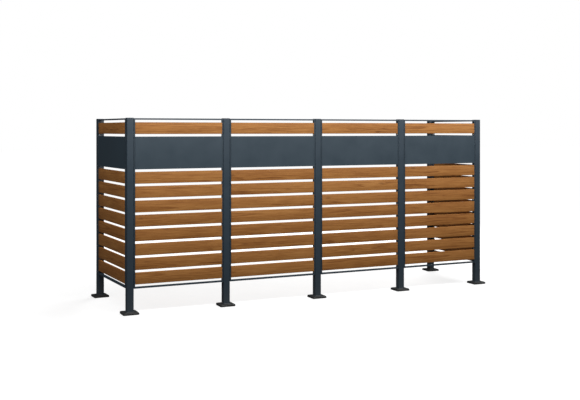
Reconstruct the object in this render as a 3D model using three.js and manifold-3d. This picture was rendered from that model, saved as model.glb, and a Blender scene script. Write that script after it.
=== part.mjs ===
// A three-sided slatted enclosure for recycling bins: a front of four bays and two wings, open at the back.
// Millimetres, +Z up. +X runs along the front to the right as seen from outside, +Y runs from the front
// to the open back. The origin is on the ground, at the middle of the footprint.
import * as THREE from 'three';
import { mergeVertices } from 'three/addons/utils/BufferGeometryUtils.js';
import Module from 'manifold-3d';

const wasm = await Module();
wasm.setup();

// ---- Driving dimensions -------------------------------------------------------------------------
const HEIGHT = 1800; // ground to the top of a post cap
const FIRST_BAY_PITCH = 941; // between post centres
const BAY_PITCH = 981;
const WING_PITCH = 967;
const WING_SPLAY = THREE.MathUtils.degToRad(3); // each wing opens outwards by this much

const POST_SIDE = 64;
const POST_WALL = 3;
const POST_CORNER = 4;
const CAP_THICK = 3; // the lid welded on top of the tube
const PLATE_SIDE = 150;
const PLATE_THICK = 20;
const PLATE_CORNER = 12; // radius of its corners in plan
const PLATE_CHAMFER = 6; // round the top
const TOUCH = 0.3; // clearance between pieces that rest on or against each other
const CORNER_STEPS = 4; // straight steps round a quarter turn
const SAME_POINT = 1e-3; // corners closer than this are one corner

const STILE_THICK = 10; // the panel frame is welded from flat bar
const RAIL_THICK = 14;
const BAR_DEPTH = 32;
const FRAME_SETBACK = 1; // behind the outer face of the posts
const FRAME_DROP = 4; // top of the frame below the top of the post caps
const FRAME_BOTTOM = 232; // ground to the bottom of the frame
const POST_GAP = 3; // shadow gap between a frame and its posts
const PAD_HEIGHT = 30; // distance pads in the shadow gap, where bolts hold a stile to its post
const PAD_DEPTH = 22;

const SLAT_HEIGHT = 109;
const SLAT_THICK = 22;
const SLAT_EDGE = 2.5; // eased long edges
const SLAT_SPACE = 23; // between slats, sheet and rails
const SLAT_SETBACK = 2; // behind the outer face of the posts
const SLAT_END_PLAY = 1;
const LOWER_SLATS = 8;

const SHEET_METAL = 2.5; // folded metal panel
const SHEET_LIP = 30; // turned-in lips at its two ends
const LUG_WIDTH = 28; // fixing lugs behind each end of a slat
const LUG_HEIGHT = 76;
const LUG_THICK = 4;
const LINK_WIDTH = 6; // spacers that join the slats of a joined set
const LINK_THICK = 8;
const LINK_BITE = 1; // how far a spacer runs into the slats above and below it

const FRAME_TOP = HEIGHT - FRAME_DROP;
const TOP_SLAT_Z = FRAME_TOP - RAIL_THICK - SLAT_SPACE - SLAT_HEIGHT;
const SLAT_PITCH = SLAT_HEIGHT + SLAT_SPACE;
const LOWEST_SLAT_Z = FRAME_BOTTOM + RAIL_THICK + SLAT_SPACE;
const SHEET_Z = LOWEST_SLAT_Z + LOWER_SLATS * SLAT_PITCH;
const SHEET_HEIGHT = TOP_SLAT_Z - SLAT_SPACE - SHEET_Z;

const OUTER_FACE = -POST_SIDE / 2; // a panel's local Y of the outer face of its posts
const FRAME_Y = OUTER_FACE + FRAME_SETBACK;
const SLAT_Y = OUTER_FACE + SLAT_SETBACK;
const LUG_Y = SLAT_Y + SLAT_THICK + TOUCH;
const PAD = POST_GAP - TOUCH; // length of a distance pad between parallel faces

// ---- Materials ----------------------------------------------------------------------------------
const coat = (color, roughness) => new THREE.MeshStandardMaterial({ color, roughness, metalness: 0.35 });
const steel = () => coat(0x3a4046, 0.5);
const plateSteel = () => coat(0x24282c, 0.55);
const sheetCoat = () => coat(0x465058, 0.45);
const timber = () => new THREE.MeshStandardMaterial({ color: 0x96683a, roughness: 0.65, metalness: 0 });

// ---- Solids -------------------------------------------------------------------------------------
function toSolid(geometry) {
  const bare = geometry.clone();
  bare.deleteAttribute('normal');
  bare.deleteAttribute('uv');
  const merged = mergeVertices(bare, SAME_POINT);
  return new wasm.Manifold(new wasm.Mesh({
    numProp: 3,
    vertProperties: new Float32Array(merged.attributes.position.array),
    triVerts: new Uint32Array(merged.index.array),
  }));
}

function toGeometry(solid) {
  const { vertProperties, triVerts } = solid.getMesh();
  const geometry = new THREE.BufferGeometry();
  geometry.setAttribute('position', new THREE.BufferAttribute(vertProperties, 3));
  geometry.setIndex(new THREE.BufferAttribute(triVerts, 1));
  geometry.computeVertexNormals();
  return geometry;
}

const joined = (geometries) => toGeometry(geometries.map(toSolid).reduce((whole, next) => whole.add(next)));
const cutFrom = (geometry, cuts) => toGeometry(
  cuts.map(toSolid).reduce((rest, cut) => rest.subtract(cut), toSolid(geometry)),
);

// A box from its lowest corner and its size.
function block(x, y, z, width, depth, height) {
  return new THREE.BoxGeometry(width, depth, height).translate(x + width / 2, y + depth / 2, z + height / 2);
}

function roundedSquare(side, radius) {
  const straight = side / 2 - radius;
  const outline = new THREE.Shape();
  outline.absarc(straight, straight, radius, 0, Math.PI / 2);
  outline.absarc(-straight, straight, radius, Math.PI / 2, Math.PI);
  outline.absarc(-straight, -straight, radius, Math.PI, 1.5 * Math.PI);
  outline.absarc(straight, -straight, radius, 1.5 * Math.PI, 2 * Math.PI);
  outline.closePath();
  return outline;
}

// ---- Posts --------------------------------------------------------------------------------------
const squareBar = (side, radius, depth, z) => new THREE.ExtrudeGeometry(roundedSquare(side, radius), {
  depth, bevelEnabled: false, curveSegments: CORNER_STEPS,
}).translate(0, 0, z);

// A tube that is open at the foot, with a lid welded on top.
function postTube() {
  const bottom = PLATE_THICK + TOUCH;
  const boreSide = POST_SIDE - 2 * POST_WALL;
  const bore = squareBar(boreSide, POST_CORNER - POST_WALL, HEIGHT - CAP_THICK, 0);
  return cutFrom(squareBar(POST_SIDE, POST_CORNER, HEIGHT - bottom, bottom), [bore]);
}

// A square plate with rounded corners. It is chamfered all round and then cut flat underneath.
function basePlate() {
  const rounded = new THREE.ExtrudeGeometry(roundedSquare(PLATE_SIDE, PLATE_CORNER), {
    depth: PLATE_THICK - PLATE_CHAMFER,
    bevelThickness: PLATE_CHAMFER,
    bevelSize: PLATE_CHAMFER,
    bevelOffset: -PLATE_CHAMFER,
    bevelSegments: 1,
    curveSegments: CORNER_STEPS,
  });
  const half = PLATE_SIDE / 2;
  return cutFrom(rounded, [block(-half, -half, -PLATE_CHAMFER, PLATE_SIDE, PLATE_SIDE, PLATE_CHAMFER)]);
}

// ---- Panels: local X along the panel from its left post's centre, local -Y to the outside -----------
// A slat is its section, with eased edges, drawn in Y and Z and extruded along X.
function slat(x, z, length) {
  const section = new THREE.Shape();
  section.moveTo(SLAT_EDGE, 0);
  section.lineTo(SLAT_HEIGHT - SLAT_EDGE, 0);
  section.lineTo(SLAT_HEIGHT, SLAT_EDGE);
  section.lineTo(SLAT_HEIGHT, SLAT_THICK - SLAT_EDGE);
  section.lineTo(SLAT_HEIGHT - SLAT_EDGE, SLAT_THICK);
  section.lineTo(SLAT_EDGE, SLAT_THICK);
  section.lineTo(0, SLAT_THICK - SLAT_EDGE);
  section.lineTo(0, SLAT_EDGE);
  section.closePath();
  const turned = new THREE.Matrix4().makeBasis(
    new THREE.Vector3(0, 0, 1), new THREE.Vector3(0, 1, 0), new THREE.Vector3(-1, 0, 0),
  );
  return new THREE.ExtrudeGeometry(section, { depth: length, bevelEnabled: false })
    .applyMatrix4(turned).translate(x + length, SLAT_Y, z);
}

// The eight lower slats as one body: short spacers at both ends join each slat to the next.
function joinedSlats(x, length) {
  const pieces = [];
  const linkY = SLAT_Y + SLAT_THICK - SLAT_EDGE - LINK_THICK;
  const linkHeight = SLAT_SPACE + 2 * LINK_BITE;
  for (let row = 0; row < LOWER_SLATS; row += 1) {
    const z = LOWEST_SLAT_Z + row * SLAT_PITCH;
    pieces.push(slat(x, z, length));
    if (row === 0) continue;
    for (const linkX of [x, x + length - LINK_WIDTH]) {
      pieces.push(block(linkX, linkY, z - SLAT_SPACE - LINK_BITE, LINK_WIDTH, LINK_THICK, linkHeight));
    }
  }
  return joined(pieces);
}

// A folded metal panel: a face, four returns and a lip behind each end, open at the back between the lips.
function metalSheet(x, length) {
  const inner = SHEET_HEIGHT - 2 * SHEET_METAL;
  const hollow = block(x + SHEET_METAL, SLAT_Y + SHEET_METAL, SHEET_Z + SHEET_METAL,
    length - 2 * SHEET_METAL, SLAT_THICK - 2 * SHEET_METAL, inner);
  const mouth = block(x + SHEET_LIP, SLAT_Y + SHEET_METAL, SHEET_Z + SHEET_METAL,
    length - 2 * SHEET_LIP, SLAT_THICK, inner);
  return cutFrom(block(x, SLAT_Y, SHEET_Z, length, SLAT_THICK, SHEET_HEIGHT), [hollow, mouth]);
}

// The middle heights of the fixing lugs on a stile: one for each slat and two for the sheet.
function lugLevels() {
  const levels = [TOP_SLAT_Z + SLAT_HEIGHT / 2, SHEET_Z + SHEET_HEIGHT / 4, SHEET_Z + (3 * SHEET_HEIGHT) / 4];
  for (let row = 0; row < LOWER_SLATS; row += 1) {
    levels.push(LOWEST_SLAT_Z + row * SLAT_PITCH + SLAT_HEIGHT / 2);
  }
  return levels;
}

// The middle heights of the distance pads: level with the space over the lowest slat, half way up and
// the space under the top slat, where a bolt head can be reached.
function padLevels() {
  const overSlat = (row) => LOWEST_SLAT_Z + row * SLAT_PITCH - SLAT_SPACE / 2;
  return [overSlat(1), overSlat(LOWER_SLATS / 2 + 1), TOP_SLAT_Z - SLAT_SPACE / 2];
}

// A stile with its lugs behind the slats and its distance pads towards the post. side is 1 for the left
// stile, whose lugs point along +X, and -1 for the right one. x is the face that looks at the post.
function stile(x, side, padLength) {
  const along = (from, to, y, z, depth, height) => {
    const low = Math.min(x + side * from, x + side * to);
    return block(low, y, z, Math.abs(to - from), depth, height);
  };
  const root = STILE_THICK / 2; // how far a lug or pad runs into the bar that it is welded to
  const bars = [along(0, STILE_THICK, FRAME_Y, FRAME_BOTTOM, BAR_DEPTH, FRAME_TOP - FRAME_BOTTOM)];
  for (const level of lugLevels()) {
    bars.push(along(root, STILE_THICK + LUG_WIDTH, LUG_Y, level - LUG_HEIGHT / 2, LUG_THICK, LUG_HEIGHT));
  }
  const padY = FRAME_Y + (BAR_DEPTH - PAD_DEPTH) / 2;
  for (const level of padLevels()) {
    bars.push(along(-padLength, root, padY, level - PAD_HEIGHT / 2, PAD_DEPTH, PAD_HEIGHT));
  }
  return joined(bars);
}

const rail = (x, z, length) => block(x, FRAME_Y, z, length, BAR_DEPTH, RAIL_THICK);

// ---- Assembly -----------------------------------------------------------------------------------
const enclosure = new THREE.Group();

function addMesh(parent, name, geometry, material) {
  const mesh = new THREE.Mesh(geometry, material);
  mesh.name = name;
  parent.add(mesh);
}

function addPost(name, position, turn) {
  const group = new THREE.Group();
  group.position.set(position.x, position.y, 0);
  group.rotation.z = turn;
  addMesh(group, `${name}_base_plate`, basePlate(), plateSteel());
  addMesh(group, `${name}_tube`, postTube(), steel());
  enclosure.add(group);
}

function addPanel({ name, start, turn, pitch, leftPad = PAD, rightPad = PAD }) {
  const group = new THREE.Group();
  group.position.set(start.x, start.y, 0);
  group.rotation.z = turn;

  const frameX = POST_SIDE / 2 + POST_GAP;
  const railX = frameX + STILE_THICK + TOUCH;
  const railLength = pitch - 2 * railX;
  addMesh(group, `${name}_left_stile`, stile(frameX, 1, leftPad), steel());
  addMesh(group, `${name}_right_stile`, stile(pitch - frameX, -1, rightPad), steel());
  addMesh(group, `${name}_top_rail`, rail(railX, FRAME_TOP - RAIL_THICK, railLength), steel());
  addMesh(group, `${name}_bottom_rail`, rail(railX, FRAME_BOTTOM, railLength), steel());

  const slatX = frameX + STILE_THICK + SLAT_END_PLAY;
  const slatLength = pitch - 2 * slatX;
  addMesh(group, `${name}_metal_sheet`, metalSheet(slatX, slatLength), sheetCoat());
  addMesh(group, `${name}_top_slat`, slat(slatX, TOP_SLAT_Z, slatLength), timber());
  addMesh(group, `${name}_lower_slats`, joinedSlats(slatX, slatLength), timber());
  enclosure.add(group);
}

// Plan: the front posts in a row and a rear post at the end of each wing. rearReach is how far the
// turned base plate of a rear post reaches behind the post's centre.
const frontLength = FIRST_BAY_PITCH + 3 * BAY_PITCH;
const wingOut = WING_PITCH * Math.sin(WING_SPLAY);
const wingBack = WING_PITCH * Math.cos(WING_SPLAY);
const plateHalf = PLATE_SIDE / 2;
const rearReach = plateHalf * Math.cos(WING_SPLAY) + (plateHalf - PLATE_CORNER) * Math.sin(WING_SPLAY);
const frontY = -(wingBack + rearReach - plateHalf) / 2;
const frontX = [0, FIRST_BAY_PITCH, FIRST_BAY_PITCH + BAY_PITCH, FIRST_BAY_PITCH + 2 * BAY_PITCH, frontLength]
  .map((x) => x - frontLength / 2);
const rearLeft = new THREE.Vector2(frontX[0] - wingOut, frontY + wingBack);
const rearRight = new THREE.Vector2(frontX[4] + wingOut, frontY + wingBack);

addPost('rear_left_post', rearLeft, WING_SPLAY);
frontX.forEach((x, index) => addPost(`front_post_${index + 1}`, new THREE.Vector2(x, frontY), 0));
addPost('rear_right_post', rearRight, -WING_SPLAY);

for (let bay = 1; bay <= 4; bay += 1) {
  addPanel({
    name: `bay_${bay}`,
    start: new THREE.Vector2(frontX[bay - 1], frontY),
    turn: 0,
    pitch: frontX[bay] - frontX[bay - 1],
  });
}

// A corner post stands square to the front, so a wing's pads towards it are shorter by the splay.
const cornerPad = PAD - (POST_SIDE / 2) * Math.sin(WING_SPLAY);
addPanel({
  name: 'left_wing',
  start: rearLeft,
  turn: WING_SPLAY - Math.PI / 2,
  pitch: WING_PITCH,
  rightPad: cornerPad,
});
addPanel({
  name: 'right_wing',
  start: new THREE.Vector2(frontX[4], frontY),
  turn: Math.PI / 2 - WING_SPLAY,
  pitch: WING_PITCH,
  leftPad: cornerPad,
});

export default enclosure;
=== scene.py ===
"""A three-sided slatted enclosure for recycling bins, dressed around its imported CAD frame.

Metres, +Z up. +X runs along the front, +Y from the front to the open back. Every panel has a local frame:
X along it from its left post, Y inwards and Z up, with the outside at negative Y.
"""
import math
import random

import bmesh
import bpy
from mathutils import Matrix, Vector


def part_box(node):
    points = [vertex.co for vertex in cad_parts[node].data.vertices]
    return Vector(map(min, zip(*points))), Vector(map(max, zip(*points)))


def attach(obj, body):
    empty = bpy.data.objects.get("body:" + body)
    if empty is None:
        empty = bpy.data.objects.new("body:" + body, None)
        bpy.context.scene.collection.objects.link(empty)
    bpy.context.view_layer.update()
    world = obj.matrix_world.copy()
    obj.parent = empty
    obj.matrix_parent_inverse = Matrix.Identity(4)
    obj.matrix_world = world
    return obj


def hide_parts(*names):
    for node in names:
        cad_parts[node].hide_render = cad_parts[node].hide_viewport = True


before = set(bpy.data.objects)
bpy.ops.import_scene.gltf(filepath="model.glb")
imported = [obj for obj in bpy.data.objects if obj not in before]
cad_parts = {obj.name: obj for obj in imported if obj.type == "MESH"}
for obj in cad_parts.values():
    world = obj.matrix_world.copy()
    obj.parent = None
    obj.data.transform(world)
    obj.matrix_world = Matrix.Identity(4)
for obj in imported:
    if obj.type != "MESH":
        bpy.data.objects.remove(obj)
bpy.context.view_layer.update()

MM = 0.001
POSTS = ["rear_left_post", *(f"front_post_{n}" for n in range(1, 6)), "rear_right_post"]
PANELS = ["left_wing", "bay_1", "bay_2", "bay_3", "bay_4", "right_wing"]
LOWER_SLATS = 8

# The camera, in the frame's own units.
LENS_MM = 55.1
CAMERA_PLACE = Vector((-4.036, -8.493, 1.689))
CAMERA_YAW = math.radians(24.9)  # to the right of +Y
HORIZON_SHIFT = -0.121  # a level camera whose picture reaches down to the feet

rng = random.Random(7)


# ---- Node helpers -----------------------------------------------------------------------------------
def opaque(colour):
    """An RGBA colour from RGB or from a single grey."""
    return (*colour, 1.0) if isinstance(colour, tuple) else (colour, colour, colour, 1.0)


class Nodes:
    """A material's node tree, with short calls to add and join nodes."""

    def __init__(self, name):
        self.material = bpy.data.materials.new(name)
        self.material.use_nodes = True
        self.tree = self.material.node_tree
        self.shader = self.tree.nodes["Principled BSDF"]

    def add(self, kind, inputs=(), **settings):
        node = self.tree.nodes.new(kind)
        for key, value in settings.items():
            setattr(node, key, value)
        for key, value in dict(inputs).items():
            self.feed(node.inputs[key], value)
        return node

    def feed(self, socket, value):
        if isinstance(value, bpy.types.NodeSocket):
            self.tree.links.new(value, socket)
        else:
            socket.default_value = value

    def math(self, operation, *values, clamp=False):
        node = self.add("ShaderNodeMath", operation=operation, use_clamp=clamp)
        for socket, value in zip(node.inputs, values):
            self.feed(socket, value)
        return node.outputs[0]

    def vector(self, operation, *values):
        node = self.add("ShaderNodeVectorMath", operation=operation)
        for socket, value in zip(node.inputs, values):
            self.feed(socket, value)
        return node.outputs["Value" if operation in ("LENGTH", "DOT_PRODUCT") else "Vector"]

    def noise(self, place, scale, detail=3.0, roughness=0.55):
        inputs = {"Vector": place, "Scale": scale, "Detail": detail, "Roughness": roughness}
        return self.add("ShaderNodeTexNoise", inputs).outputs["Fac"]

    def ramp(self, value, *stops):
        node = self.add("ShaderNodeValToRGB", {"Fac": value})
        band = node.color_ramp
        while len(band.elements) < len(stops):
            band.elements.new(1.0)
        for element, (place, colour) in zip(band.elements, stops):
            element.position = place
            element.color = opaque(colour)
        return node.outputs["Color"]

    def mix(self, share, first, second):
        node = self.add("ShaderNodeMix", data_type="RGBA")
        self.feed(node.inputs["Factor"], share)
        for socket, colour in ((node.inputs[6], first), (node.inputs[7], second)):
            self.feed(socket, opaque(colour) if isinstance(colour, tuple) else colour)
        return node.outputs[2]

    def span(self, value, low, high, to_low, to_high):
        inputs = {"Value": value, "From Min": low, "From Max": high, "To Min": to_low, "To Max": to_high}
        return self.add("ShaderNodeMapRange", inputs).outputs["Result"]

    def set(self, **inputs):
        for key, value in inputs.items():
            self.feed(self.shader.inputs[key.replace("_", " ")], value)

    def bump(self, height, distance, strength=1.0, normal=None):
        inputs = {"Height": height, "Distance": distance, "Strength": strength}
        if normal is not None:
            inputs["Normal"] = normal
        return self.add("ShaderNodeBump", inputs).outputs["Normal"]


# ---- Materials --------------------------------------------------------------------------------------
def timber_material():
    """Oiled boards with a close grain: long growth lines, fibres, pores and a few small knots."""
    n = Nodes("oiled_timber")
    place = n.add("ShaderNodeTexCoord").outputs["Object"]
    board = n.add("ShaderNodeAttribute", attribute_name="board_cut").outputs["Vector"]
    tone = n.add("ShaderNodeAttribute", attribute_name="board_tone").outputs["Fac"]
    cut = n.vector("ADD", place, board)

    wander = n.vector("MULTIPLY", cut, (1.6, 14.0, 14.0))
    warp = n.add("ShaderNodeTexNoise", {"Vector": wander, "Scale": 1.0, "Detail": 3.0}).outputs["Color"]
    centred = n.vector("SUBTRACT", warp, (0.5, 0.5, 0.5))
    bent = n.vector("ADD", cut, n.vector("MULTIPLY", centred, (0.0, 0.020, 0.020)))
    pith_distance = n.vector("LENGTH", n.vector("MULTIPLY", bent, (0.004, 1.0, 1.0)))
    ring = n.math("FRACT", n.math("MULTIPLY", pith_distance, 1 / 0.0042))
    latewood = n.ramp(ring, (0.0, 0.10), (0.62, 0.30), (0.90, 1.0), (1.0, 0.10))

    fibre = n.noise(n.vector("MULTIPLY", cut, (11.0, 520.0, 520.0)), 1.0, 4.0, 0.6)
    streak = n.noise(n.vector("MULTIPLY", cut, (5.0, 130.0, 130.0)), 1.0, 5.0, 0.62)
    dash = n.noise(n.vector("MULTIPLY", cut, (20.0, 260.0, 260.0)), 1.0, 3.0, 0.6)
    pit = n.noise(n.vector("MULTIPLY", cut, (55.0, 1500.0, 1500.0)), 1.0, 2.0)
    pore = n.ramp(pit, (0.60, 0.0), (0.72, 1.0))
    cloud = n.noise(n.vector("MULTIPLY", cut, (2.6, 11.0, 11.0)), 1.0, 3.0)

    depth = n.math("ADD", n.math("MULTIPLY", latewood, 0.19), n.math("MULTIPLY", streak, 0.50))
    depth = n.math("ADD", depth, n.math("MULTIPLY", fibre, 0.36))
    depth = n.math("ADD", depth, n.math("MULTIPLY", n.math("SUBTRACT", cloud, 0.5), 0.24))
    depth = n.math("ADD", depth, n.math("MULTIPLY", n.math("SUBTRACT", tone, 0.5), 0.07))
    colour = n.ramp(
        depth,
        (0.30, (0.560, 0.262, 0.076)),
        (0.45, (0.455, 0.192, 0.049)),
        (0.57, (0.355, 0.137, 0.031)),
        (0.70, (0.205, 0.067, 0.013)),
    )
    fleck = n.ramp(dash, (0.60, 0.0), (0.74, 1.0))
    colour = n.mix(n.math("MULTIPLY", fleck, 0.60), colour, (0.150, 0.050, 0.012))
    knot_place = n.vector("MULTIPLY", cut, (2.4, 9.0, 9.0))
    knot_distance = n.add("ShaderNodeTexVoronoi", {"Vector": knot_place, "Scale": 1.0}).outputs["Distance"]
    knot = n.ramp(n.math("ADD", knot_distance, n.math("MULTIPLY", streak, 0.16)), (0.115, 1.0), (0.19, 0.0))
    colour = n.mix(n.math("MULTIPLY", knot, 0.60), colour, (0.130, 0.042, 0.011))
    colour = n.mix(n.math("MULTIPLY", pore, 0.35), colour, (0.150, 0.052, 0.014))

    height = n.math("SUBTRACT", n.math("MULTIPLY", fibre, 0.6), n.math("MULTIPLY", pore, 0.5))
    height = n.math("ADD", height, n.math("MULTIPLY", latewood, 0.35))
    n.set(
        Base_Color=colour,
        Roughness=n.span(depth, 0.2, 0.8, 0.70, 0.56),
        Specular_IOR_Level=0.3,
        Normal=n.bump(height, 0.35 * MM, 0.8),
    )
    return n.material


def coated_steel(name, colour, worn, dust, roughness):
    """Powder coat: fine orange peel, uneven gloss, thin worn edges and dust towards the ground."""
    n = Nodes(name)
    place = n.add("ShaderNodeTexCoord").outputs["Object"]
    peel = n.noise(place, 620.0, 2.0)
    patch = n.noise(place, 5.5, 4.0)
    speck = n.noise(place, 90.0, 4.0, 0.7)

    shade = n.span(patch, 0.3, 0.7, 0.95, 1.05)
    shades = n.add("ShaderNodeCombineXYZ", {"X": shade, "Y": shade, "Z": shade}).outputs["Vector"]
    base = n.vector("MULTIPLY", colour, shades)

    eased = n.add("ShaderNodeBevel", {"Radius": 1.6 * MM}, samples=4).outputs["Normal"]
    facing = n.vector("DOT_PRODUCT", eased, n.add("ShaderNodeNewGeometry").outputs["Normal"])
    turned_away = n.math("SUBTRACT", 1.0, facing)
    edge = n.ramp(n.math("MULTIPLY", turned_away, speck), (0.045, 0.0), (0.16, 1.0))
    painted = n.mix(n.math("MULTIPLY", edge, 0.5), base, worn)

    height = n.add("ShaderNodeSeparateXYZ", {"Vector": place}).outputs["Z"]
    low = n.span(height, 0.0, 0.42, 1.0, 0.0)
    dusty = n.math("MULTIPLY", n.math("MULTIPLY", low, low), n.span(speck, 0.35, 0.7, 0.0, 1.0))
    soiled = n.mix(n.math("MULTIPLY", dusty, dust), painted, (0.16, 0.145, 0.125))

    gloss = n.span(patch, 0.3, 0.7, roughness - 0.03, roughness + 0.05)
    n.set(
        Base_Color=soiled,
        Roughness=n.math("ADD", gloss, n.math("MULTIPLY", dusty, 0.2), clamp=True),
        Specular_IOR_Level=0.9,
        Normal=n.bump(peel, 0.05 * MM, 0.6, n.bump(patch, 0.4 * MM, 0.2)),
    )
    return n.material


def stainless_material():
    """Fastener heads: stainless steel blasted to a matt grey, with a little tarnish."""
    n = Nodes("stainless_fastener")
    place = n.add("ShaderNodeTexCoord").outputs["Object"]
    tarnish = n.noise(place, 160.0, 4.0, 0.65)
    colour = n.ramp(tarnish, (0.30, (0.27, 0.255, 0.24)), (0.62, (0.58, 0.58, 0.59)))
    n.set(
        Base_Color=colour,
        Metallic=0.4,
        Roughness=n.span(tarnish, 0.3, 0.7, 0.46, 0.30),
        Normal=n.bump(n.noise(place, 900.0, 2.0), 0.04 * MM, 0.5),
    )
    return n.material


def weld_material():
    """A painted weld bead: the frame's coat, duller and with small pits."""
    n = Nodes("coated_weld")
    place = n.add("ShaderNodeTexCoord").outputs["Object"]
    pit = n.noise(place, 420.0, 4.0, 0.7)
    n.set(
        Base_Color=n.ramp(pit, (0.3, (0.026, 0.032, 0.038)), (0.7, (0.058, 0.070, 0.082))),
        Roughness=n.span(pit, 0.3, 0.7, 0.62, 0.48),
        Normal=n.bump(pit, 0.3 * MM, 0.7),
    )
    return n.material


timber = timber_material()
frame_coat = coated_steel("frame_coat", (0.020, 0.040, 0.060), (0.22, 0.23, 0.235), 0.35, 0.50)
sheet_coat = coated_steel("sheet_coat", (0.024, 0.046, 0.066), (0.22, 0.23, 0.235), 0.2, 0.50)
plate_coat = coated_steel("plate_coat", (0.010, 0.012, 0.014), (0.10, 0.10, 0.10), 0.2, 0.60)
stainless = stainless_material()
weld_coat = weld_material()


# ---- Mesh helpers -----------------------------------------------------------------------------------
def new_piece(name, mesh, material, matrix=None):
    piece = bpy.data.objects.new(name, mesh)
    bpy.context.scene.collection.objects.link(piece)
    if matrix is not None:
        piece.matrix_world = matrix
    mesh.materials.append(material)
    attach(piece, "root")
    return piece


def loft(bm, loops, closed=False):
    """Skins a list of equal loops of points. An open loft is capped at both ends; a closed one joins up."""
    rings = [[bm.verts.new(point) for point in loop] for loop in loops]
    pairs = list(zip(rings, rings[1:] + rings[:1])) if closed else list(zip(rings, rings[1:]))
    for ring, following in pairs:
        for here, there in zip(range(len(ring)), [*range(1, len(ring)), 0]):
            bm.faces.new((ring[here], ring[there], following[there], following[here]))
    if not closed:
        bm.faces.new(list(reversed(rings[0])))
        bm.faces.new(rings[-1])


def finished_mesh(name, bm, smooth_degrees=35.0):
    bmesh.ops.recalc_face_normals(bm, faces=bm.faces)
    limit = math.radians(smooth_degrees)
    for face in bm.faces:
        face.smooth = True
    for edge in bm.edges:
        edge.smooth = len(edge.link_faces) == 2 and edge.calc_face_angle(0.0) < limit
    mesh = bpy.data.meshes.new(name)
    bm.to_mesh(mesh)
    bm.free()
    return mesh


def rounded_rectangle(width, height, radius, steps=4):
    """Points round a rectangle about the origin, anticlockwise."""
    points = []
    for corner, (across, up) in enumerate(((1, 1), (-1, 1), (-1, -1), (1, -1))):
        centre = Vector((across * (width / 2 - radius), up * (height / 2 - radius)))
        for step in range(steps + 1):
            angle = (corner + step / steps) * math.pi / 2
            points.append(centre + radius * Vector((math.cos(angle), math.sin(angle))))
    return points


# ---- Where things are -------------------------------------------------------------------------------
def post_centre(post):
    low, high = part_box(f"{post}_tube")
    return Vector(((low.x + high.x) / 2, (low.y + high.y) / 2, 0.0))


def post_turn(index):
    """A front post stands square to the front; a rear post is square to its wing."""
    if 0 < index < len(POSTS) - 1:
        return 0.0
    along = post_centre(POSTS[index]) - post_centre(POSTS[1 if index == 0 else -2])
    return math.atan2(along.y, along.x) - math.pi / 2


def panel_matrix(index):
    start, end = post_centre(POSTS[index]), post_centre(POSTS[index + 1])
    along = end - start
    return Matrix.Translation(start) @ Matrix.Rotation(math.atan2(along.y, along.x), 4, "Z")


def local_box(node, matrix):
    """Lowest and highest corner of a CAD node in a panel's own frame."""
    back = matrix.inverted()
    points = [back @ vertex.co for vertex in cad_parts[node].data.vertices]
    low = Vector(min(point[axis] for point in points) for axis in range(3))
    high = Vector(max(point[axis] for point in points) for axis in range(3))
    return low, high


# ---- Posts ------------------------------------------------------------------------------------------
TUBE_WALL = 3 * MM
TUBE_CORNER = 5 * MM
LID_THICK = 3 * MM
LID_SEAM = 0.5 * MM
WELD_LEG = 6 * MM


def level_loop(side, radius, z):
    return [(*point, z) for point in rounded_rectangle(side, side, radius, 8)]


def tube_mesh(name, side, bottom, top):
    """A hollow square tube with round corners and slightly eased ends."""
    ease = 0.4 * MM
    inner_side = side - 2 * TUBE_WALL
    rows = [
        (side - 2 * ease, TUBE_CORNER, bottom),
        (side, TUBE_CORNER, bottom + ease),
        (side, TUBE_CORNER, top - ease),
        (side - 2 * ease, TUBE_CORNER, top),
        (inner_side, TUBE_CORNER - TUBE_WALL, top),
        (inner_side, TUBE_CORNER - TUBE_WALL, bottom),
    ]
    bm = bmesh.new()
    loft(bm, [level_loop(width, radius, z) for width, radius, z in rows], closed=True)
    return finished_mesh(name, bm)


def lid_mesh(name, side, bottom, top):
    ease = 0.9 * MM
    rows = [
        (side - 2 * ease, bottom),
        (side, bottom + ease * 0.6),
        (side, top - ease),
        (side - 0.6 * ease, top - 0.3 * ease),
        (side - 2 * ease, top),
    ]
    bm = bmesh.new()
    loft(bm, [level_loop(width, TUBE_CORNER, z) for width, z in rows])
    return finished_mesh(name, bm)


def stepped_path(corners, step_length):
    """Even steps along a closed outline: (point, length from the start)."""
    run, path = 0.0, []
    for here, there in zip(corners, corners[1:] + corners[:1]):
        length = (there - here).length
        steps = max(1, round(length / step_length))
        for step in range(steps):
            path.append((here.lerp(there, step / steps), run + length * step / steps))
        run += length
    return path


def weld_mesh(name, side, floor, leg):
    """A fillet bead round the foot of a post, with the ripples of a hand-held torch."""
    root = -0.5 * MM  # the bead starts just inside the faces that it joins
    loops = []
    for point, run in stepped_path(rounded_rectangle(side, side, TUBE_CORNER), 1.6 * MM):
        outward = point.normalized()
        reach = leg * (1.0 + 0.10 * math.sin(run / (1.5 * MM)) + rng.uniform(-0.03, 0.03))
        section = [(root, root), (reach, root), (0.62 * reach, 0.42 * reach), (0.0, reach), (root, reach)]
        loops.append([(*(point + outward * out), floor + up) for out, up in section])
    bm = bmesh.new()
    loft(bm, loops, closed=True)
    return finished_mesh(name, bm, 60.0)


def dress_post(index):
    post = POSTS[index]
    low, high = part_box(f"{post}_tube")
    plate_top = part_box(f"{post}_base_plate")[1].z
    stand = Matrix.Translation(post_centre(post)) @ Matrix.Rotation(post_turn(index), 4, "Z")
    lid_foot = high.z - LID_THICK

    shell = tube_mesh(f"{post}_shell", post_side, low.z, lid_foot - LID_SEAM)
    tube = new_piece(f"{post}_shell", shell, frame_coat, stand)
    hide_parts(f"{post}_tube")
    lid = lid_mesh(f"{post}_lid", post_side, lid_foot, high.z)
    new_piece(f"{post}_lid", lid, frame_coat, stand)
    weld = weld_mesh(f"{post}_weld", post_side, plate_top, WELD_LEG)
    new_piece(f"{post}_weld", weld, weld_coat, stand)


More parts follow.
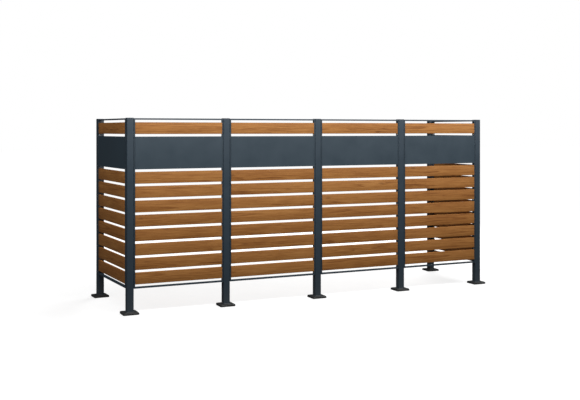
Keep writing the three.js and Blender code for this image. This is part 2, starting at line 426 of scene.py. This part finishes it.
front_low, front_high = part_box("front_post_1_tube")
post_side = front_high.x - front_low.x
for index in range(len(POSTS)):
    dress_post(index)


# ---- Slats ------------------------------------------------------------------------------------------
SLAT_CORNER = 2.6 * MM
SLAT_END_EASE = 1.8 * MM
SLAT_STATIONS = 14
SLAT_SLIMMING = 0.96  # leaves room for the bow and the cup


def slat_stations(length):
    """Places along a slat and how far its section is drawn in there: rounded ends, then even steps."""
    ease = SLAT_END_EASE
    start = [(0.0, ease), (0.35 * ease, 0.35 * ease), (ease, 0.0)]
    middle = [(length * step / SLAT_STATIONS, 0.0) for step in range(1, SLAT_STATIONS)]
    return start + middle + [(length - x, inset) for x, inset in reversed(start)]


def slat_mesh(name, length, thick, height):
    """A board from its left end, standing on its lower edge, slightly bowed, crooked and cupped."""
    bow = rng.uniform(-0.45, 0.45) * MM
    crook = rng.uniform(-0.3, 0.3) * MM
    cup = rng.uniform(0.1, 0.5) * MM
    loops = []
    for x, inset in slat_stations(length):
        arch = 4 * (x / length) * (1 - x / length)
        loop = []
        for across, up in rounded_rectangle(thick - 2 * inset, height - 2 * inset, SLAT_CORNER, 3):
            curl = ((2 * up / height) ** 2 - 0.5) * cup
            y = thick / 2 + across * SLAT_SLIMMING + arch * bow + curl
            loop.append((x, y, height / 2 + up + arch * crook))
        loops.append(loop)
    bm = bmesh.new()
    loft(bm, loops)
    mesh = finished_mesh(name, bm)
    cut = (rng.uniform(0, 40), rng.uniform(0.015, 0.075), rng.uniform(-0.09, 0.0))
    store_on_points(mesh, "board_cut", "FLOAT_VECTOR", "vector", cut)
    store_on_points(mesh, "board_tone", "FLOAT", "value", (rng.random(),))
    return mesh


def store_on_points(mesh, name, kind, field, value):
    attribute = mesh.attributes.new(name, kind, "POINT")
    attribute.data.foreach_set(field, list(value) * len(mesh.vertices))


def dress_slats(panel, matrix):
    """Nine separate boards. Returns the heights of their lower edges from the top down, and their height."""
    top_low, top_high = local_box(f"{panel}_top_slat", matrix)
    low, high = local_box(f"{panel}_lower_slats", matrix)
    length, thick, height = top_high - top_low
    pitch = (high.z - low.z - height) / (LOWER_SLATS - 1)
    levels = [top_low.z, *(high.z - height - row * pitch for row in range(LOWER_SLATS))]
    for number, level in enumerate(levels, start=1):
        name = f"{panel}_slat_{number}"
        place = matrix @ Matrix.Translation((top_low.x, top_low.y, level))
        slat = new_piece(name, slat_mesh(name, length, thick, height), timber, place)
        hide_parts(f"{panel}_top_slat" if number == 1 else f"{panel}_lower_slats")
    return levels, height


# ---- Fasteners --------------------------------------------------------------------------------------
SCREW_RADIUS = 5.2 * MM
SCREW_HEIGHT = 3.2 * MM
SCREW_SPREAD = 22 * MM  # up and down from the middle of a slat
SCREW_INSET = 15 * MM  # from the face of the stile
LUG_THICK = 4 * MM
CLEARANCE = 0.3 * MM  # between pieces that touch
SLAT_END_PLAY = 1 * MM  # between a slat's end and the stile
BOLT_RADIUS = 6.6 * MM
BOLT_HEIGHT = 3.6 * MM
WASHER_RADIUS = 8 * MM
WASHER_THICK = 1.2 * MM


def turns(sides):
    return [2 * math.pi * step / sides for step in range(sides)]


def circle(radius, z, sides):
    return [(radius * math.cos(angle), radius * math.sin(angle), z) for angle in turns(sides)]


def hexagon(radius, z, sides):
    """Points of a hexagon at the same angles as a circle's, so that the two can be joined."""
    loop = []
    for angle in turns(sides):
        off_flat = angle % (math.pi / 3) - math.pi / 6
        reach = radius * math.cos(math.pi / 6) / math.cos(off_flat)
        loop.append((reach * math.cos(angle), reach * math.sin(angle), z))
    return loop


def placed(loops, matrix):
    return [[matrix @ Vector(point) for point in loop] for loop in loops]


def add_head(bm, matrix, radius, height, sides=18):
    """A domed head with a hexagon socket, its base on the local XY plane."""
    profile = [(1.0, 0.0), (1.0, 0.16), (0.93, 0.46), (0.74, 0.78), (0.50, 0.95)]
    loops = [circle(radius * share, height * rise, sides) for share, rise in profile]
    loops += [hexagon(0.42 * radius, height * rise, sides) for rise in (0.95, 0.30)]
    loft(bm, placed(loops, matrix))


def add_washer(bm, matrix, radius, thick, sides=20):
    profile = [(1.0, 0.0), (1.0, 0.8), (0.95, 1.0), (0.3, 1.0), (0.3, 0.0)]
    loops = [circle(radius * share, thick * rise, sides) for share, rise in profile]
    loft(bm, placed(loops, matrix), closed=True)


def aim(place, direction):
    """A matrix whose +Z points along direction."""
    return Matrix.Translation(place) @ Vector(direction).to_track_quat("Z", "Y").to_matrix().to_4x4()


def screw_heads(panel, matrix, levels, slat_height):
    """Two heads behind each end of a slat, and one on each lug of the metal sheet."""
    slat_low, slat_high = local_box(f"{panel}_top_slat", matrix)
    sheet_low, sheet_high = local_box(f"{panel}_metal_sheet", matrix)
    lug_back = slat_high.y + CLEARANCE + LUG_THICK
    inset = SCREW_INSET - SLAT_END_PLAY
    rows = [level + slat_height / 2 + way * SCREW_SPREAD for level in levels for way in (-1, 1)]
    rows += [sheet_low.z + (sheet_high.z - sheet_low.z) * share for share in (0.25, 0.75)]
    bm = bmesh.new()
    for x in (slat_low.x + inset, slat_high.x - inset):
        for z in rows:
            spin = Matrix.Rotation(rng.uniform(0, math.pi), 4, "Z")
            add_head(bm, aim((x, lug_back, z), (0, 1, 0)) @ spin, SCREW_RADIUS, SCREW_HEIGHT)
    return finished_mesh(f"{panel}_screws", bm)


def frame_bolts(panel, matrix, levels, slat_height):
    """Three bolts a stile, in the spaces between slats where a key can reach them."""
    stile_low, stile_high = local_box(f"{panel}_left_stile", matrix)
    slat_low, slat_high = local_box(f"{panel}_top_slat", matrix)
    space = levels[1] - levels[2] - slat_height
    half_way = levels[-1 - (LOWER_SLATS // 2 + 1)]
    rows = (levels[0] - space / 2, half_way - space / 2, levels[-1] + slat_height + space / 2)
    middle = (stile_low.y + stile_high.y) / 2
    bm = bmesh.new()
    for x, way in ((slat_low.x - SLAT_END_PLAY, 1), (slat_high.x + SLAT_END_PLAY, -1)):
        for z in rows:
            seat = aim((x, middle, z), (way, 0, 0))
            add_washer(bm, seat, WASHER_RADIUS, WASHER_THICK)
            add_head(bm, seat @ Matrix.Translation((0, 0, WASHER_THICK)), BOLT_RADIUS, BOLT_HEIGHT)
    return finished_mesh(f"{panel}_bolts", bm)


# ---- CAD pieces that stay ---------------------------------------------------------------------------
def ease_edges(node, width, material):
    """Gives a CAD node rounded edges and its finish."""
    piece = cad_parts[node]
    piece.data.materials.clear()
    piece.data.materials.append(material)
    weld = piece.modifiers.new("joined_corners", "WELD")
    weld.merge_threshold = 0.01 * MM
    bevel = piece.modifiers.new("eased_edges", "BEVEL")
    bevel.width = width
    bevel.segments = 3
    bevel.limit_method = "ANGLE"
    bevel.angle_limit = math.radians(30)
    bevel.harden_normals = True


for index, panel in enumerate(PANELS):
    matrix = panel_matrix(index)
    slats = dress_slats(panel, matrix)
    new_piece(f"{panel}_screws", screw_heads(panel, matrix, *slats), stainless, matrix)
    new_piece(f"{panel}_bolts", frame_bolts(panel, matrix, *slats), stainless, matrix)
    for bar in ("left_stile", "right_stile", "top_rail", "bottom_rail"):
        ease_edges(f"{panel}_{bar}", 0.8 * MM, frame_coat)
    ease_edges(f"{panel}_metal_sheet", 1.0 * MM, sheet_coat)
for post in POSTS:
    ease_edges(f"{post}_base_plate", 1.8 * MM, plate_coat)


# ---- Stage ------------------------------------------------------------------------------------------
def add_camera():
    data = bpy.data.cameras.new("camera")
    data.lens = LENS_MM
    data.sensor_width = 36
    data.shift_y = HORIZON_SHIFT
    camera = bpy.data.objects.new("camera", data)
    camera.location = CAMERA_PLACE
    camera.rotation_euler = (math.pi / 2, 0, -CAMERA_YAW)
    bpy.context.scene.collection.objects.link(camera)
    bpy.context.scene.camera = camera


def add_floor():
    """A pale ground that fades into the background, so that only soft shadows near the feet show on it. Its
    brightness is painted light: it glows, dimmer near the enclosure and full white far off.
    """
    bm = bmesh.new()
    below = Matrix.Translation((0, 0, -0.5 * MM))
    bmesh.ops.create_grid(bm, x_segments=1, y_segments=1, size=60.0, matrix=below)
    mesh = bpy.data.meshes.new("floor")
    bm.to_mesh(mesh)
    bm.free()
    n = Nodes("pale_floor")
    place = n.add("ShaderNodeTexCoord").outputs["Object"]
    outwards = n.vector("LENGTH", n.vector("MULTIPLY", place, (0.55, 1.0, 0.0)))
    grain = n.noise(place, 3.0, 4.0)
    n.set(
        Base_Color=n.ramp(grain, (0.3, 0.32), (0.7, 0.36)),
        Roughness=0.9,
        Specular_IOR_Level=0.0,
        # painted light: the floor glows, less near the enclosure so the lamps' shadows show there, fully
        # white further out
        Emission_Color=(1, 1, 1, 1),
        Emission_Strength=n.span(outwards, 1.2, 4.0, 0.76, 1.0),
    )
    mesh.materials.append(n.material)
    floor = bpy.data.objects.new("floor", mesh)
    floor.visible_diffuse = False
    floor.visible_glossy = False
    bpy.context.scene.collection.objects.link(floor)


def add_light(name, place, target, width, height, power, colour=(1, 1, 1)):
    data = bpy.data.lights.new(name, "AREA")
    data.shape = "RECTANGLE"
    data.size, data.size_y = width, height
    data.energy = power
    data.color = colour
    light = bpy.data.objects.new(name, data)
    light.location = place
    light.rotation_euler = (Vector(target) - Vector(place)).to_track_quat("-Z", "Y").to_euler()
    bpy.context.scene.collection.objects.link(light)
    return light


def add_world(ambient, seen):
    """Soft light all round, and a plain pale background for the eye."""
    world = bpy.data.worlds.new("studio")
    world.use_nodes = True
    bpy.context.scene.world = world
    nodes, links = world.node_tree.nodes, world.node_tree.links
    soft, plain = nodes["Background"], nodes.new("ShaderNodeBackground")
    soft.inputs["Color"].default_value = (0.92, 0.96, 1.0, 1)
    soft.inputs["Strength"].default_value = ambient
    plain.inputs["Strength"].default_value = seen
    plain.inputs["Color"].default_value = (1, 1, 1, 1)
    choice = nodes.new("ShaderNodeMixShader")
    links.new(nodes.new("ShaderNodeLightPath").outputs["Is Camera Ray"], choice.inputs["Fac"])
    links.new(soft.outputs[0], choice.inputs[1])
    links.new(plain.outputs[0], choice.inputs[2])
    links.new(choice.outputs[0], nodes["World Output"].inputs["Surface"])


add_camera()
add_floor()
add_world(0.07, 1.0)
add_light("key", (0.9, -2.55, 3.25), (0.9, -0.5, 2.0), 10.0, 0.6, 205)
add_light("left_fill", (-5.5, -1.2, 3.2), (-2.0, 0.0, 1.5), 2.5, 1.5, 34).visible_glossy = False
add_light("rear", (3.4, 4.4, 3.6), (-0.4, -0.4, 0.9), 4.0, 2.0, 420).visible_glossy = False
bpy.context.scene.view_settings.view_transform = "Standard"
